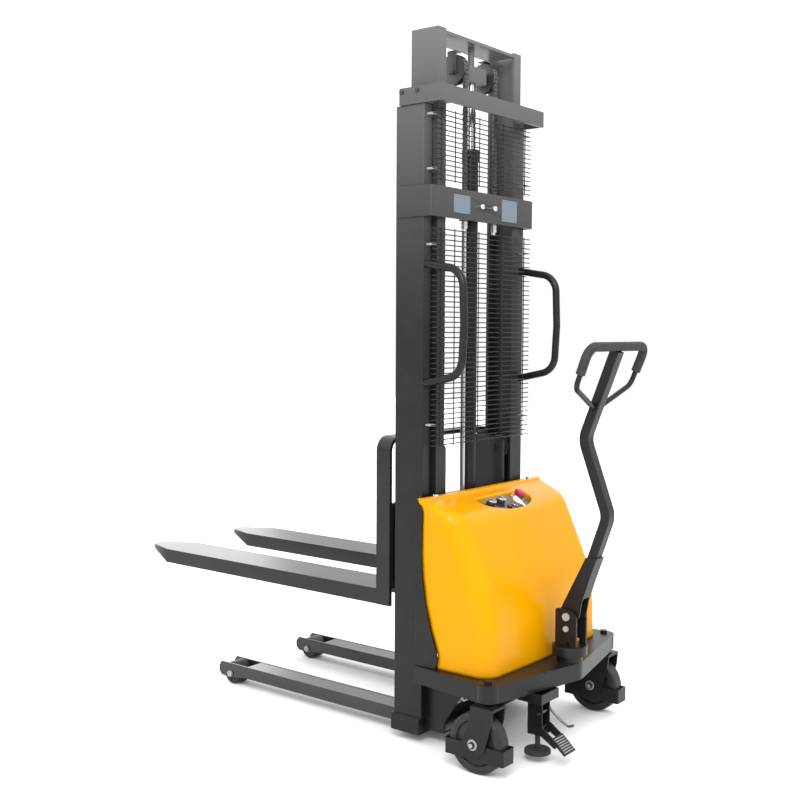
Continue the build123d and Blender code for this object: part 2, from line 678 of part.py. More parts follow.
# Mesh guard on the rear of the mast
mesh_x = -28.0
wire_r = 1.75
wire_half = 277.0
uprights_y = [236, 165, 33, -105, -236]
handle_y = column_half - 13.0
handle_r = 12.0
handle_crossings = (1479.5, 1127.0)


def wire_z(z0, z1, count, index):
    return z0 + index * (z1 - z0) / (count - 1)


def mesh(z0, z1, count):
    wires = []
    for i in range(count):
        z = wire_z(z0, z1, count, i)
        near_handle = min(abs(z - handle_z) for handle_z in handle_crossings) < handle_r + 4
        reach = handle_y - handle_r - 3 if near_handle else wire_half
        wires.append(rod((mesh_x, -reach, z), (mesh_x, reach, z), wire_r))
    return wires + [rod((mesh_x - 2 * wire_r - 0.05, y, z0 - 4), (mesh_x - 2 * wire_r - 0.05, y, z1 + 4),
                        wire_r) for y in uprights_y]


upper_panel = (1740, 1948, 15)
lower_panel = (931, 1590, 43)
save("mesh_guard", *mesh(*upper_panel), *mesh(*lower_panel))
clips = []
for z in (wire_z(*upper_panel, 2), wire_z(*upper_panel, 13), wire_z(*lower_panel, 4),
          wire_z(*lower_panel, 39)):
    for side in (1, -1):
        clips.append(block(mesh_x + wire_r + 0.05, 0, side * (column_half - 32), side * (column_half - 14), z - 3, z + 3))
save("mesh_clips", *clips)

handles = []
for side in (1, -1):
    y = side * handle_y
    points = [(6, y, 1485), (-136, y, 1462), (-142, y, 1300), (-134, y, 1150), (6, y, 1120)]
    handles.append(tube(points, handle_r, 60) - block(0, 40, y - 30, y + 30, 1000, 1600))
save("grab_handles", *handles)

# Tiller
clevis_in, clevis_out = 27.0, 35.0
base_disc = rod((swivel_x, 0, disc_low), (swivel_x, 0, disc_high), disc_r)
base_disc = fillet(base_disc.edges().filter_by(GeomType.CIRCLE).sort_by(Axis.Z)[-1], 3)
base_disc += rod((swivel_x, 0, deck_top - deck_t - 12), (swivel_x, 0, disc_low + 1), 10)
ears = []
for side in (1, -1):
    ear = slab_y([(-328, disc_high - 1), (-400, disc_high - 1), (-400, 434), (-328, 434)], side * clevis_in,
                 side * clevis_out)
    rear_top = ear.edges().filter_by(Axis.Y).sort_by(Axis.Z)[-2:]
    ear = fillet(rear_top.sort_by(Axis.X)[0], 30)
    ear = fillet(ear.edges().filter_by(Axis.Y).sort_by(Axis.Z)[-1:], 8)
    ear -= block(-377, -363, side * 20, side * 40, disc_high + 0.5, disc_high + 16)
    ear -= rod((pivot_x, side * 20, pivot_z), (pivot_x, side * 40, pivot_z), pivot_r + 0.02)
    ear -= rod((pivot_x, side * 20, pivot_z - 37), (pivot_x, side * 40, pivot_z - 37), 5.02)
    ears.append(ear)
save("tiller_base", join([base_disc] + ears))
hinge_pin = rod((pivot_x, -clevis_out - 2, pivot_z), (pivot_x, clevis_out + 2, pivot_z), pivot_r)
stop_pin = rod((pivot_x, -clevis_out - 2, pivot_z - 37), (pivot_x, clevis_out + 2, pivot_z - 37), 5)
caps = []
for side in (1, -1):
    y0, y1 = side * clevis_out, side * (clevis_out + 5)
    caps.append(rod((pivot_x, y0, pivot_z), (pivot_x, y1, pivot_z), 12))
    caps.append(rod((pivot_x, y0, pivot_z - 37), (pivot_x, y1, pivot_z - 37), 9))
save("tiller_pins", join([hinge_pin, caps[0], caps[2]]), join([stop_pin, caps[1], caps[3]]))

lower = [(-330, 412), (-345, 395), (-366, 384), (-387, 393), (-404, 414), (-412, 460), (-446, 560),
         (-461, 600), (-424, 600)]
channel_outer = slab_y(lower, -24, 24)
channel_inner = slab_y([(-300, 380), (-384, 380), (-399, 414), (-407, 460), (-441, 560), (-456, 601),
                        (-400, 620), (-300, 420)],
                       -arm_half, arm_half)
channel = channel_outer - channel_inner
channel -= slab_y([(-380, 380), (-420, 380), (-420, 470), (-380, 470)], -arm_half, arm_half)
channel -= rod((pivot_x, -40, pivot_z), (pivot_x, 40, pivot_z), pivot_r + fit)
arm_path = FilletPolyline((-424, 0, 552), (-486, 0, 728), (-403, 0, 957),
                          (loop_top_x + 5, 0, loop_top_z - 13), radius=70)
arm_plane = Plane(origin=arm_path @ 0, x_dir=(0, 1, 0), z_dir=arm_path % 0)
arm = sweep(arm_plane * RectangleRounded(2 * arm_half - 0.2, 30, 4), path=arm_path)
arm -= rod((loop_top_x, -60, loop_top_z), (loop_top_x, 60, loop_top_z), grip_r + 0.02)
save("tiller_arm", channel + arm)

slant = Vector(-0.36, 0, 0.93).normalized()


def on_loop(side, y, drop):
    spot = Vector(loop_top_x, side * y, loop_top_z) - slant * drop
    return (spot.X, spot.Y, spot.Z)


loop_points = [on_loop(1, 20, 196), on_loop(1, loop_half, 128), on_loop(1, loop_half + 6, 0),
               on_loop(-1, loop_half + 6, 0),
               on_loop(-1, loop_half, 128), on_loop(-1, 20, 196)]
loop = tube(loop_points, loop_tube_r, 34)
loop -= slab_y([(-380, 1000), (-480, 1000), (-560, 1230), (-400, 1230)], -arm_half, arm_half)
save("tiller_loop", loop)
grip_points = [on_loop(1, loop_half + 2, 84), on_loop(1, loop_half + 6, 0), on_loop(-1, loop_half + 6, 0),
               on_loop(-1, loop_half + 2, 84)]
grip = tube(grip_points, grip_r, 34)
save("tiller_grip", grip - tube(loop_points, loop_tube_r + 0.02, 34))


# Casters
def caster(side, label):
    x, y = caster_x, side * caster_y
    ax = caster_x + caster_trail
    top = block(x - 38, x + 38, y - 35, y + 35, 196, 204)
    top = fillet(top.edges().filter_by(Axis.Z), 8)
    plates = []
    for s in (1, -1):
        cheek = slab_y([(x - 38, 203), (x + 38, 203), (x + 41, 170), (x + 50, 133), (ax + 40, 92),
                        (ax + 36, 66), (ax + 16, 52),
                        (ax - 14, 52), (ax - 38, 72), (ax - 50, 110),
                        (x - 34, 160)], y + s * 30, y + s * 35)
        plates.append(cheek)
    yoke = join([top] + plates)
    yoke += rod((x, y, 196), (x, y, 206.5), 28)
    yoke += rod((x, y, 200), (x, y, deck_top + 2), kingpin_r)
    head = extrude(Pos(x, y, deck_top + gap) * RegularPolygon(13, 6), amount=9)
    yoke += head
    band = block(ax - 102, ax + 102, y - 30, y + 30, 44, 90)
    band = fillet(band.edges().filter_by(Axis.Z), 6)
    hole = block(ax - 98, ax + 98, y - 26, y + 26, 40, 95)
    band -= fillet(hole.edges().filter_by(Axis.Z), 3)
    yoke += band
    yoke -= rod((ax, y - 50, wheel_r), (ax, y + 50, wheel_r), 7.02)
    axle = rod((ax, y - 36, wheel_r), (ax, y + 36, wheel_r), 7)
    for s in (1, -1):
        nut = extrude(Plane(origin=(ax, y + s * 35, wheel_r), z_dir=(0, s, 0)) * RegularPolygon(11, 6),
                      amount=8)
        axle += nut
    save(f"caster_yoke_{label}", yoke, axle)
    wheel = rod((ax, y - wheel_w / 2, wheel_r), (ax, y + wheel_w / 2, wheel_r), wheel_r)
    wheel = fillet(wheel.edges().filter_by(GeomType.CIRCLE), 7)
    for s in (1, -1):
        dish = rod((ax, y + s * 17, wheel_r), (ax, y + s * 30, wheel_r),
                   66) - rod((ax, y + s * 10, wheel_r), (ax, y + s * 40, wheel_r), 24)
        wheel -= dish
        wheel += rod((ax, y + s * 20, wheel_r), (ax, y + s * 25.5, wheel_r), 20)
    wheel -= rod((ax, y - 40, wheel_r), (ax, y + 40, wheel_r), 7 + fit)
    save(f"caster_wheel_{label}", wheel)


caster(1, "left")
caster(-1, "right")

# Floor lock: body, foot pad on its plunger, pedal and release lever
lock_plates = []
for s in (1, -1):
    lock_plates.append(block(lock_x - 28, lock_x + 22, lock_y + s * 19, lock_y + s * 23, 82, 186))
lock_body = join(lock_plates + [block(lock_x - 26, lock_x + 26, lock_y - 26, lock_y + 26, 178, 186)])
lock_body += block(lock_x + 10, lock_x + 14, lock_y - 20, lock_y + 20, 90, 180)
sleeve = rod((lock_x, lock_y, 92), (lock_x, lock_y, 150), 12) - rod((lock_x, lock_y, 90),
                                                                    (lock_x, lock_y, 151), 8 + fit)
lock_body += sleeve
lock_body += block(lock_x + 8, lock_x + 12, lock_y - 20, lock_y + 20, 100, 140)
lock_body -= rod((lock_x, lock_y, 90), (lock_x, lock_y, 151), 8 + fit)
pedal_x, pedal_z = lock_x - 19, 104.0
release_z = 150.0
for s in (1, -1):
    lock_body -= rod((pedal_x, lock_y + s * 15, pedal_z), (pedal_x, lock_y + s * 40, pedal_z), 5 + fit)
    lock_body -= rod((pedal_x, lock_y + s * 15, release_z), (pedal_x, lock_y + s * 40, release_z), 4 + fit)
save("floor_lock_body", lock_body)
foot = rod((lock_x, lock_y, 22), (lock_x, lock_y, 34), 40)
foot = fillet(foot.edges().filter_by(GeomType.CIRCLE).sort_by(Axis.Z)[-1], 5)
foot += rod((lock_x, lock_y, 33), (lock_x, lock_y, 140), 8)
save("floor_lock_foot", foot)
arms = []
for s in (1, -1):
    arms.append(slab_y([(pedal_x - 9, pedal_z + 9), (pedal_x + 9, pedal_z + 8), (pedal_x + 9, pedal_z - 9),
                        (lock_x - 74, 56), (lock_x - 90, 70)],
                       lock_y + s * 24, lock_y + s * 28))
pedal = arms[0] + arms[1]
pad = slab_y([(lock_x - 62, 82), (lock_x - 108, 42), (lock_x - 113, 47), (lock_x - 67, 88)], lock_y - 30,
             lock_y + 30)
pedal += pad
pedal += rod((pedal_x, lock_y - 30, pedal_z), (pedal_x, lock_y + 30, pedal_z), 5)
save("floor_lock_pedal", pedal)
release_y = lock_y - 36
release_run = [(0, 0), (-40, -30), (-66, -42), (-82, -34)]
release = tube([(pedal_x + dx, release_y, release_z + dz) for dx, dz in release_run], 3.5, 14)
release += rod((pedal_x, release_y - 4, release_z), (pedal_x, lock_y + 30, release_z), 4)
save("floor_lock_release", release)
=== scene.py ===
import math

import bmesh
import bpy
from mathutils import Matrix, Vector
from mathutils.bvhtree import BVHTree


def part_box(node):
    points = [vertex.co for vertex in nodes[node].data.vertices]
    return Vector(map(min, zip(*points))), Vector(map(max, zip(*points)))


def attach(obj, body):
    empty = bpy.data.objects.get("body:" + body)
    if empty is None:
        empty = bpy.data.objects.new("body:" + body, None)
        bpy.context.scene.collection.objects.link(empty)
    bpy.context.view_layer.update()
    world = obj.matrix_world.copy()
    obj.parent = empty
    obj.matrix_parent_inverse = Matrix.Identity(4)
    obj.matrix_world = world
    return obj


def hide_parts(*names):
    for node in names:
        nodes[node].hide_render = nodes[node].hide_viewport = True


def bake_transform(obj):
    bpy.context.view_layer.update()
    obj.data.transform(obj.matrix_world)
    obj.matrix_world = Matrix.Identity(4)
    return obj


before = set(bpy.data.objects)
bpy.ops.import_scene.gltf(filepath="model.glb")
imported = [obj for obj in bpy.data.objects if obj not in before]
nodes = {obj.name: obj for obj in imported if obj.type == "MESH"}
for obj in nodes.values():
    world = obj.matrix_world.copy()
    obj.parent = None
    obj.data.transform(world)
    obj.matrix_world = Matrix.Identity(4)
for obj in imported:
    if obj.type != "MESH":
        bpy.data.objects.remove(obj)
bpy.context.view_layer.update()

mm = 0.001
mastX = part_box("outer_columns")[0].x   # rear face of the outer columns


def at(x, y, z):
    # millimetres measured from the mast's rear face on the centre line, at the floor
    return Vector((mastX + x * mm, y * mm, z * mm))


view = {"place": (-2042, 2995, 1282), "heading": 51.855, "down": 3.565, "roll": 0.2385, "lens": 50.28}


def addCamera():
    heading, down, roll = (math.radians(view[k]) for k in ("heading", "down", "roll"))
    forward = Vector((math.cos(heading) * math.cos(down), -math.sin(heading) * math.cos(down),
                      -math.sin(down)))
    right = forward.cross(Vector((0, 0, 1))).normalized()
    up = right.cross(forward)
    across = right * math.cos(roll) + up * math.sin(roll)
    upward = up * math.cos(roll) - right * math.sin(roll)
    data = bpy.data.cameras.new("camera")
    data.lens = view["lens"]
    data.sensor_width = 36
    camera = bpy.data.objects.new("camera", data)
    turn = Matrix((across, upward, -forward)).transposed().to_4x4()
    camera.matrix_world = Matrix.Translation(at(*view["place"])) @ turn
    bpy.context.scene.collection.objects.link(camera)
    bpy.context.scene.camera = camera


addCamera()
print("camera placed")


class Value:
    # one number socket; arithmetic on it adds Math nodes
    def __init__(self, finish, socket):
        self.finish = finish
        self.socket = socket

    def combine(self, operation, first, second):
        made = self.finish.node("ShaderNodeMath", {"operation": operation}, {0: first, 1: second})
        return Value(self.finish, made.outputs[0])

    def __add__(self, other):
        return self.combine("ADD", self, other)

    def __radd__(self, other):
        return self.combine("ADD", other, self)

    def __sub__(self, other):
        return self.combine("SUBTRACT", self, other)

    def __rsub__(self, other):
        return self.combine("SUBTRACT", other, self)

    def __mul__(self, other):
        return self.combine("MULTIPLY", self, other)

    def __rmul__(self, other):
        return self.combine("MULTIPLY", other, self)

    def __truediv__(self, other):
        return self.combine("DIVIDE", self, other)

    def __pow__(self, other):
        return self.combine("POWER", self, other)


class Finish:
    # one material, built from nodes
    def __init__(self, name, **constants):
        self.material = bpy.data.materials.new(name)
        self.material.use_nodes = True
        self.tree = self.material.node_tree
        self.tree.nodes.clear()
        self.shader = self.node("ShaderNodeBsdfPrincipled", {}, constants)
        self.node("ShaderNodeOutputMaterial", {}, {"Surface": self.shader.outputs[0]})
        self.place = self.node("ShaderNodeTexCoord").outputs["Object"]

    def node(self, kind, settings=None, inputs=None):
        made = self.tree.nodes.new(kind)
        for name, value in (settings or {}).items():
            if name == "stops":
                self.setStops(made.color_ramp, value)
            else:
                setattr(made, name, value)
        for name, value in (inputs or {}).items():
            self.feed(made.inputs[name], value)
        return made

    def setStops(self, ramp, stops):
        while len(ramp.elements) > len(stops):
            ramp.elements.remove(ramp.elements[-1])
        while len(ramp.elements) < len(stops):
            ramp.elements.new(1)
        for element, (spot, colour) in zip(ramp.elements, stops):
            element.position = spot
            element.color = (*colour, 1)

    def feed(self, socket, value):
        if isinstance(value, Value):
            self.tree.links.new(value.socket, socket)
        elif isinstance(value, bpy.types.NodeSocket):
            self.tree.links.new(value, socket)
        elif isinstance(value, tuple) and len(value) == 3 and socket.type == "RGBA":
            socket.default_value = (*value, 1)
        else:
            socket.default_value = value

    def set(self, name, value):
        self.feed(self.shader.inputs[name], value)

    def noise(self, scale, detail=3, rough=0.5, where=None):
        made = self.node("ShaderNodeTexNoise", {"noise_dimensions": "3D"},
                         {"Vector": where or self.place, "Scale": scale, "Detail": detail,
                          "Roughness": rough})
        return Value(self, made.outputs[0])

    def stretched(self, x, y, z):
        made = self.node("ShaderNodeMapping", {}, {"Vector": self.place, "Scale": (x, y, z)})
        return made.outputs[0]

    def between(self, low, high, amount):
        # mixes two colours
        made = self.node("ShaderNodeMix", {"data_type": "RGBA"}, {"Factor": amount, 6: low, 7: high})
        return made.outputs[2]

    def ramp(self, amount, low, high):
        made = self.node("ShaderNodeMapRange", {}, {"Value": amount, "From Min": low, "From Max": high})
        return Value(self, made.outputs[0])

    def bump(self, height, strength, distance):
        made = self.node("ShaderNodeBump", {}, {"Height": height, "Strength": strength,
                                                "Distance": distance})
        self.set("Normal", made.outputs[0])


# the pale mast tone and the heights where it starts and ends paint light from above onto the upper mast
paintLook = {"mast": (0.0085, 0.0083, 0.008), "topLightTone": (0.105, 0.103, 0.103), "topLightLow": 1.25,
             "topLightHigh": 2.2,
             "frame": (0.0075, 0.0072, 0.0068), "leg": (0.014, 0.014, 0.0138),
             "fork": (0.0095, 0.0095, 0.0095)}


def paintFinish(name, tone, gloss=0.34, shine=0.22, paintsTopLight=False):
    # satin baked paint: faint cloudiness and orange peel
    made = Finish(name, **{"Metallic": 0.0, "Specular IOR Level": shine})
    cloud = made.noise(9, 4, 0.6)
    pale = tuple(min(1, c * 1.2 + 0.002) for c in tone)
    deep = tuple(c * 0.86 for c in tone)
    colour = made.between(deep, pale, made.ramp(cloud, 0.3, 0.7))
    if paintsTopLight:   # painted light: the mast paint turns paler towards the top, standing in for light falling from above
        split = made.node("ShaderNodeSeparateXYZ", {}, {"Vector": made.place})
        rise = made.ramp(Value(made, split.outputs[2]), paintLook["topLightLow"], paintLook["topLightHigh"]) ** 1.5
        colour = made.between(colour, paintLook["topLightTone"], rise)
    made.set("Base Color", colour)
    made.set("Roughness", gloss + 0.04 * (made.noise(38, 3) - 0.5))
    made.bump(made.noise(1400, 2, 0.4), 0.03, 0.0003)
    return made.material


coverLook = {"deep": (0.51, 0.212, 0.0), "bright": (0.57, 0.246, 0.0), "roughness": 0.2}


def coverFinish():
    made = Finish("coverYellow", **{"Specular IOR Level": 0.1})
    drift = made.noise(3.2, 3, 0.55)
    made.set("Base Color", made.between(coverLook["deep"], coverLook["bright"],
                                        made.ramp(drift, 0.05, 0.45)))
    made.set("Roughness", coverLook["roughness"] + 0.06 * (made.noise(55, 3) - 0.5))
    made.bump(made.noise(260, 2, 0.4), 0.035, 0.0006)
    return made.material


def rubberFinish(name, tone, rough=0.72, grain=2200, strength=0.35):
    made = Finish(name, **{"Specular IOR Level": 0.3})
    wear = made.noise(60, 5, 0.65)
    made.set("Base Color", made.between(tone, tuple(c * 1.7 + 0.004 for c in tone),
                                        made.ramp(wear, 0.45, 0.8)))
    made.set("Roughness", rough + 0.12 * (made.noise(140, 3) - 0.5))
    made.bump(made.noise(grain, 3, 0.6), strength, 0.0003)
    return made.material


def steelFinish(name, tone, rough, scratch=(4, 4, 900)):
    made = Finish(name, **{"Metallic": 1.0})
    lines = made.noise(1, 4, 0.7, made.stretched(*scratch))
    made.set("Base Color", made.between(tuple(c * 0.8 for c in tone), tone, made.ramp(lines, 0.3, 0.7)))
    made.set("Roughness", rough + 0.14 * (lines - 0.5))
    made.bump(lines, 0.06, 0.0002)
    return made.material


def plasticFinish(name, tone, rough=0.38):
    made = Finish(name, **{"Specular IOR Level": 0.5})
    made.set("Base Color", made.between(tuple(c * 0.85 for c in tone), tone,
                                        made.ramp(made.noise(90, 2), 0.3, 0.7)))
    made.set("Roughness", rough + 0.08 * (made.noise(300, 2) - 0.5))
    made.bump(made.noise(2600, 2, 0.5), 0.10, 0.0002)
    return made.material


def plateFinish():
    # blue-silver label foil with plain ruled cells
    made = Finish("labelFoil", **{"Metallic": 0.55})
    split = made.node("ShaderNodeSeparateXYZ", {}, {"Vector": made.place})
    rows = made.node("ShaderNodeMath", {"operation": "PINGPONG"},
                     {0: Value(made, split.outputs[2]) * 1000.0, 1: 3.2})
    line = made.ramp(Value(made, rows.outputs[0]), 2.5, 2.9)
    made.set("Base Color", made.between((0.15, 0.18, 0.215), (0.24, 0.27, 0.31), line))
    made.set("Roughness", 0.36 + 0.1 * (made.noise(500, 2) - 0.5))
    return made.material


finish = {
    # the mast finish carries painted light, paler towards the top
    "mastPaint": paintFinish("mastPaint", paintLook["mast"], paintsTopLight=True),
    "framePaint": paintFinish("framePaint", paintLook["frame"]),
    "legPaint": paintFinish("legPaint", paintLook["leg"], 0.24, 0.5),
    "forkPaint": paintFinish("forkPaint", paintLook["fork"], 0.3, 0.27),
    "cover": coverFinish(),
    "rubber": rubberFinish("blackRubber", (0.020, 0.020, 0.020)),
    "wheel": rubberFinish("blackNylon", (0.011, 0.011, 0.012), 0.45, 900, 0.1),
    "zinc": steelFinish("zincSteel", (0.60, 0.60, 0.59), 0.34),
    "boltGrey": plasticFinish("boltGrey", (0.30, 0.30, 0.29), 0.4),
    "darkSteel": steelFinish("oiledSteel", (0.16, 0.155, 0.15), 0.42, (300, 300, 300)),
    "chrome": steelFinish("hardChrome", (0.62, 0.62, 0.64), 0.16, (200, 200, 6)),
    "black": plasticFinish("blackPlastic", (0.018, 0.018, 0.019)),
    "panel": plasticFinish("panelGrey", (0.13, 0.118, 0.106), 0.6),
    "nylon": plasticFinish("nylonPad", (0.10, 0.10, 0.10), 0.5),
    "red": plasticFinish("signalRed", (0.36, 0.006, 0.016), 0.3),
    "green": plasticFinish("signalGreen", (0.01, 0.22, 0.09), 0.4),
    "amber": plasticFinish("collarYellow", (0.85, 0.50, 0.03), 0.4),
    "lens": plasticFinish("paleCap", (0.10, 0.13, 0.18), 0.15),
    "paper": plasticFinish("whiteTag", (0.86, 0.86, 0.84), 0.6),
    "label": plateFinish(),
}
print("finishes ready:", len(finish))


def makeObject(name, points, faces, material, body, slotName, smooth=35):
    mesh = bpy.data.meshes.new(name)
    mesh.from_pydata([tuple(p) for p in points], [], faces)
    mesh.validate()
    made = bpy.data.objects.new(name, mesh)
    bpy.context.scene.collection.objects.link(made)
    tidy = bmesh.new()
    tidy.from_mesh(mesh)
    bmesh.ops.remove_doubles(tidy, verts=tidy.verts, dist=1e-6)
    bmesh.ops.recalc_face_normals(tidy, faces=tidy.faces)
    for edge in tidy.edges:
        if len(edge.link_faces) == 2 and edge.calc_face_angle(0) > math.radians(smooth):
            edge.smooth = False
    tidy.to_mesh(mesh)
    tidy.free()
    for face in mesh.polygons:
        face.use_smooth = True
    mesh.materials.append(material)
    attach(made, body)
    return made


def axesFor(direction):
    along = Vector(direction).normalized()
    helper = Vector((0, 0, 1)) if abs(along.z) < 0.9 else Vector((1, 0, 0))
    side = along.cross(helper).normalized()
    return side, along.cross(side).normalized(), along


def latheParts(profile, origin, direction, segments=48):
    # turns (radius, height) pairs, in millimetres, about an axis
    side, lift, along = axesFor(direction)
    points, faces = [], []
    for radius, height in profile:
        for k in range(segments):
            turn = 2 * math.pi * k / segments
            spoke = side * math.cos(turn) + lift * math.sin(turn)
            points.append(Vector(origin) + spoke * radius * mm + along * height * mm)
    for row in range(len(profile) - 1):
        for k in range(segments):
            n = (k + 1) % segments
            faces.append((row * segments + k, row * segments + n, (row + 1) * segments + n,
                          (row + 1) * segments + k))
    if profile[0][0] > 0.01:
        faces.append(tuple(reversed(range(segments))))
    if profile[-1][0] > 0.01:
        faces.append(tuple(range((len(profile) - 1) * segments, len(profile) * segments)))
    return points, faces


def merge(parts):
    points, faces = [], []
    for morePoints, moreFaces in parts:
        shift = len(points)
        points += list(morePoints)
        faces += [tuple(i + shift for i in face) for face in moreFaces]
    return points, faces


def roundCorner(radius, height, bevel, steps=5):
    # profile points of a rounded rim
    made = []
    for k in range(steps + 1):
        turn = 0.5 * math.pi * k / steps
        made.append((radius - bevel + bevel * math.cos(turn), height - bevel + bevel * math.sin(turn)))
    return made


def tubeParts(path, radius, segments=12, ripple=0.0, wave=3.0):
    # a round bar along points in metres; ripple and wave shape a weld bead
    points, faces, travelled = [], [], 0.0
    side = None
    for k, spot in enumerate(path):
        ahead = path[min(k + 1, len(path) - 1)] - path[max(k - 1, 0)]
        along = ahead.normalized()
        if side is None:
            side = axesFor(along)[0]
        side = (side - along * side.dot(along)).normalized()
        lift = along.cross(side)
        if k:
            travelled += (spot - path[k - 1]).length
        size = radius * mm * (1 + ripple * math.sin(travelled / (wave * mm) * 2 * math.pi))
        for n in range(segments):
            turn = 2 * math.pi * n / segments
            points.append(spot + (side * math.cos(turn) + lift * math.sin(turn)) * size)
    for k in range(len(path) - 1):
        for n in range(segments):
            m = (n + 1) % segments
            faces.append((k * segments + n, k * segments + m, (k + 1) * segments + m,
                          (k + 1) * segments + n))
    faces.append(tuple(reversed(range(segments))))
    faces.append(tuple(range((len(path) - 1) * segments, len(path) * segments)))
    return points, faces


def alongLine(corners, step):
    # evenly spaced points on straight runs between corners in metres
    made = [corners[0]]
    for start, end in zip(corners, corners[1:]):
        count = max(1, round((end - start).length / (step * mm)))
        made += [start.lerp(end, (k + 1) / count) for k in range(count)]
    return made


def dress(node, material, bevel=0.0):
    # gives a CAD piece its finish and, where its edges are sheet metal, a small broken edge
    piece = nodes[node]
    if not piece.material_slots:
        piece.data.materials.append(material)
    for place in piece.material_slots:
        place.material = material
    if bevel:
        weld = piece.modifiers.new("weld", "WELD")
        weld.merge_threshold = 0.00002
        edge = piece.modifiers.new("edge", "BEVEL")
        edge.width = bevel * mm
        edge.segments = 2
        edge.limit_method = "ANGLE"
        edge.angle_limit = math.radians(40)
        edge.harden_normals = False
        piece.modifiers.new("shade", "WEIGHTED_NORMAL")


wearing = {
    "mastPaint": ["outer_columns", "inner_columns", "inner_crossmembers", "top_bracket", "mid_crossbeam",
                  "crosshead"],
    "framePaint": ["platform", "underframe", "base_beam", "lift_cylinder", "grab_handles",
                   "side_plates", "power_pack", "floor_lock_body", "tiller_base", "tiller_arm",
                   "tiller_loop",
                   "caster_yoke_left", "caster_yoke_right", "floor_lock_pedal", "mesh_guard"],
    "legPaint": ["support_legs"],
    "forkPaint": ["carriage_frame", "fork_left", "fork_right"],
    "zinc": ["cylinder_clamp", "hydraulic_pipes", "chain_anchors",
             "mast_rollers", "carriage_rollers_upper", "carriage_rollers_lower", "key"],
    "boltGrey": ["tiller_pins", "load_axles", "mesh_clips"],
    "darkSteel": ["pad_screws", "sheaves", "sheave_axle", "floor_lock_release", "chain_rear_run",
                  "chain_front_run", "chain_wrap"],
    "chrome": ["piston_rod", "cover_bolts"],
    "rubber": ["tiller_grip", "floor_lock_foot"],
    "wheel": ["caster_wheel_left", "caster_wheel_right", "load_roller_left", "load_roller_right"],
    "black": ["battery", "button_lift", "button_lower"],
    "nylon": ["wear_pads"],
    "panel": ["control_panel", "panel_fittings"],
    "red": ["stop_button"],
    "cover": ["body_cover"],
    "label": ["data_plates"],
}
softEdged = {"outer_columns": 2.5, "inner_columns": 2.5, "inner_crossmembers": 1.2,
             "mid_crossbeam": 1.6, "platform": 1.6, "underframe": 1.2, "base_beam": 1.6,
             "support_legs": 1.4,
             "side_plates": 1.2, "carriage_frame": 1.6, "fork_left": 1.8, "fork_right": 1.8,
             "tiller_arm": 1.2}
for kind, wearers in wearing.items():
    for node in wearers:
        dress(node, finish[kind], softEdged.get(node, 0.0))
print("CAD pieces dressed")


# rows run up the back: height, rear face at the corners, half width, corner radius, bow of the rear face
cover = {
    "rows": [(268, 286, 333, 60, 6), (330, 284, 333, 61, 6), (400, 281, 334, 62, 7), (500, 263, 335, 66, 8),
             (560, 243, 335, 70, 9), (610, 222, 335, 72, 10), (650, 204, 335, 72, 11),
             (690, 186, 335, 72, 12),
             (712, 175, 335, 70, 12), (727, 161, 335, 66, 10), (738, 141, 336, 56, 8),
             (749, 113, 336, 44, 5),
             (760, 78, 337, 26, 3), (765.5, 62, 337, 20, 2), (767.5, 55, 337, 17, 1), (769, 52, 337, 15, 1),
             (775, 49, 338, 12, 1), (777, 46, 338, 9, 0), (777.5, 38, 338, 5, 0), (777, 26, 338, 1, 0)],
    "seam": [(268, 93), (300, 101), (320, 97), (381, 75), (463, 54), (540, 43), (610, 39), (700, 41),
             (740, 43),
             (756, 37), (764, 28), (777, 26)],
    "wall": 3.6, "lip": 6.0, "steps": 5,
}
recess = {"front": -87, "half": 126, "depth": 84, "floor": 743, "slope": 20.0}
slope = math.radians(recess["slope"])
panelUp = Vector((-math.sin(slope), 0, math.cos(slope)))


def lookUp(table, key):
    # straight interpolation in a table of (key, value)
    for (low, first), (high, second) in zip(table, table[1:]):
        if key <= high:
            return first + (second - first) * max(0.0, (key - low) / (high - low))
    return table[-1][1]


def smoothRows(rows, steps):
    # passes a smooth curve through rows of numbers
    made = []
    for k in range(len(rows) - 1):
        before, start, end, after = rows[max(k - 1, 0)], rows[k], rows[k + 1], rows[min(k + 2,
                                                                                        len(rows) - 1)]
        for n in range(steps):
            t = n / steps
            made.append(tuple(
                0.5 * (2 * b + (c - a) * t + (2 * a - 5 * b + 4 * c - d) * t * t + (3 * b - a - 3 * c + d) * t ** 3)
                for a, b, c, d in zip(before, start, end, after)))
    return made + [tuple(float(v) for v in rows[-1])]


def coverSection(row):
    z, rear, half, radius, bow = row
    seam = min(lookUp(cover["seam"], z), rear)
    flat = half - radius
    line = []
    for k in range(9):
        line.append((-seam + (-rear + radius + seam) * k / 9 if rear - radius > seam else -seam, half))
    for k in range(14):
        turn = 0.5 * math.pi * k / 14
        line.append((min(-seam, -rear + radius - radius * math.sin(turn)),
                     half - radius + radius * math.cos(turn)))
    for k in range(41):
        y = flat * (1 - k / 20)
        line.append((-rear - bow * (1 - (y / flat) ** 2) ** 2, y))
    line += [(x, -y) for x, y in reversed(line[:23])]
    return [at(x, y, z) for x, y in line]


def gridParts(rows):
    across = len(rows[0])
    points = [p for row in rows for p in row]
    faces = [(k * across + n, k * across + n + 1, (k + 1) * across + n + 1, (k + 1) * across + n)
             for k in range(len(rows) - 1) for n in range(across - 1)]
    return points, faces


